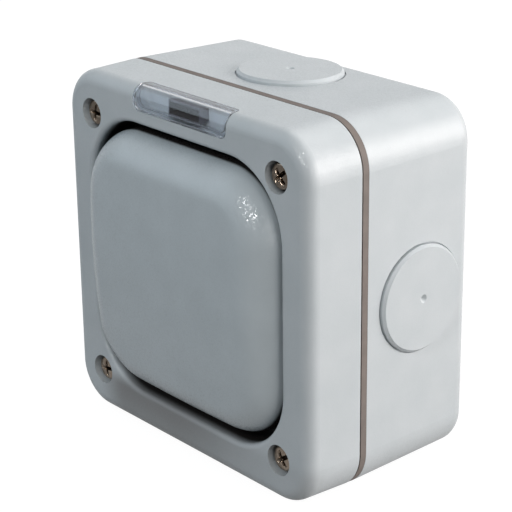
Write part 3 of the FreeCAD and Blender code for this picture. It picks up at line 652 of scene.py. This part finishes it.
# 1 where the background is seen straight, in a gloss or through glass, 0 where it lights a matt surface
def whiteShare(tree):
    rays = addNode(tree, "ShaderNodeLightPath")
    first = addNode(
        tree, "ShaderNodeMath", links={0: rays.outputs["Is Camera Ray"], 1: rays.outputs["Is Glossy Ray"]},
        operation="MAXIMUM",
    )
    seen = addNode(
        tree, "ShaderNodeMath", links={0: first.outputs[0], 1: rays.outputs["Is Transmission Ray"]},
        operation="MAXIMUM",
    )
    direct = addNode(  # no matt bounce on the way
        tree, "ShaderNodeMath", {1: 0.5}, {0: rays.outputs["Diffuse Depth"]}, operation="LESS_THAN"
    )
    return addNode(
        tree, "ShaderNodeMath", links={0: seen.outputs[0], 1: direct.outputs[0]}, operation="MULTIPLY"
    ).outputs[0]


# Full white for the camera; what mirrors and glass see fades to the dimmer front of the room
def roomFade(tree, place, reach):
    axes = addNode(tree, "ShaderNodeSeparateXYZ", links={"Vector": place})
    fade = addNode(
        tree, "ShaderNodeMapRange",
        {"From Min": -reach, "From Max": reach, "To Min": studio["frontDim"], "To Max": 1.0},
        {"Value": axes.outputs["Y"]},
    )
    rays = addNode(tree, "ShaderNodeLightPath")
    return addNode(
        tree, "ShaderNodeMath", links={0: rays.outputs["Is Camera Ray"], 1: fade.outputs["Result"]},
        operation="MAXIMUM",
    ).outputs[0]


def floorMaterial():
    material, tree = newMaterial("studio_floor_white")
    matt = addNode(tree, "ShaderNodeBsdfDiffuse", {"Color": hexToLinear(studio["floorTone"])})
    fade = roomFade(tree, addNode(tree, "ShaderNodeTexCoord").outputs["Object"], studio["floorDimM"])
    level = addNode(tree, "ShaderNodeMath", {1: studio["floorGlow"]}, {0: fade}, operation="MULTIPLY")
    glow = addNode(tree, "ShaderNodeEmission", links={"Strength": level.outputs[0]})
    both = addNode(tree, "ShaderNodeAddShader", links={0: matt.outputs[0], 1: glow.outputs[0]})
    chosen = addNode(
        tree, "ShaderNodeMixShader", links={0: whiteShare(tree), 1: matt.outputs[0], 2: both.outputs[0]}
    )
    addNode(tree, "ShaderNodeOutputMaterial", links={"Surface": chosen.outputs[0]})
    return material


def studioWorld():
    world = bpy.data.worlds.new("studioWorld")
    world.use_nodes = True
    tree = world.node_tree
    tree.nodes.clear()
    share = whiteShare(tree)
    fade = roomFade(tree, addNode(tree, "ShaderNodeTexCoord").outputs["Generated"], studio["skyDim"])
    strength = addNode(
        tree, "ShaderNodeMapRange", {"To Min": studio["worldLight"]}, {"Value": share, "To Max": fade}
    )
    tint = addNode(
        tree, "ShaderNodeMix", {6: hexToLinear(studio["worldTint"]), 7: (1.0, 1.0, 1.0, 1.0)}, {0: share},
        data_type="RGBA",
    )
    sky = addNode(
        tree, "ShaderNodeBackground",
        links={"Color": tint.outputs[2], "Strength": strength.outputs["Result"]},
    )
    addNode(tree, "ShaderNodeOutputWorld", links={"Surface": sky.outputs[0]})
    return world


def placeSoftbox(box):
    light = bpy.data.lights.new(box["name"], "AREA")
    light.shape = "SQUARE"
    light.size = box["sizeM"]
    light.energy = box["power"]
    light.color = hexToLinear(box["tint"])[:3]
    lamp = linkObject(box["name"], light)
    lamp.location = box["placeM"]
    middle = Vector((0, frontY / 2, 0))
    lamp.rotation_euler = (middle - lamp.location).to_track_quat("-Z", "Y").to_euler()


floorMesh = bpy.data.meshes.new("studioFloor")
half = studio["floorSizeM"] / 2
level = cadBox[0][2] - studio["floorGapMm"] * mm
floorCorners = [(-half, -half, level), (half, -half, level), (half, half, level), (-half, half, level)]
floorMesh.from_pydata(floorCorners, [], [(0, 1, 2, 3)])
floorMesh.materials.append(floorMaterial())
floor = linkObject("studioFloor", floorMesh)
bpy.context.scene.world = studioWorld()
for box in softboxes:
    placeSoftbox(box)
print("studio set")

# Camera: long lens, to the right of the front and above it, with a slight roll
view = {
    "placeMm": (293.65, -226.78, 146.04), "azimuth": 49.74, "elevation": 20.70, "roll": -0.716,
    "lensMm": 123.96, "sensorMm": 36.0, "nearM": 0.01, "farM": 20.0,
}
camera = bpy.data.cameras.new("photoCamera")
camera.lens = view["lensMm"]
camera.sensor_width = view["sensorMm"]
camera.clip_start = view["nearM"]
camera.clip_end = view["farM"]
cameraObject = linkObject("photoCamera", camera)
place = Vector(view["placeMm"]) * mm + Vector((0, frontY, 0))  # measured from the front plane
cameraObject.matrix_world = (
    Matrix.Translation(place)
    @ Matrix.Rotation(math.radians(view["azimuth"]), 4, "Z")
    @ Matrix.Rotation(math.radians(90 - view["elevation"]), 4, "X")
    @ Matrix.Rotation(math.radians(view["roll"]), 4, "Z")
)
bpy.context.scene.camera = cameraObject
bpy.context.scene.view_settings.view_transform = "Standard"
print("camera set")
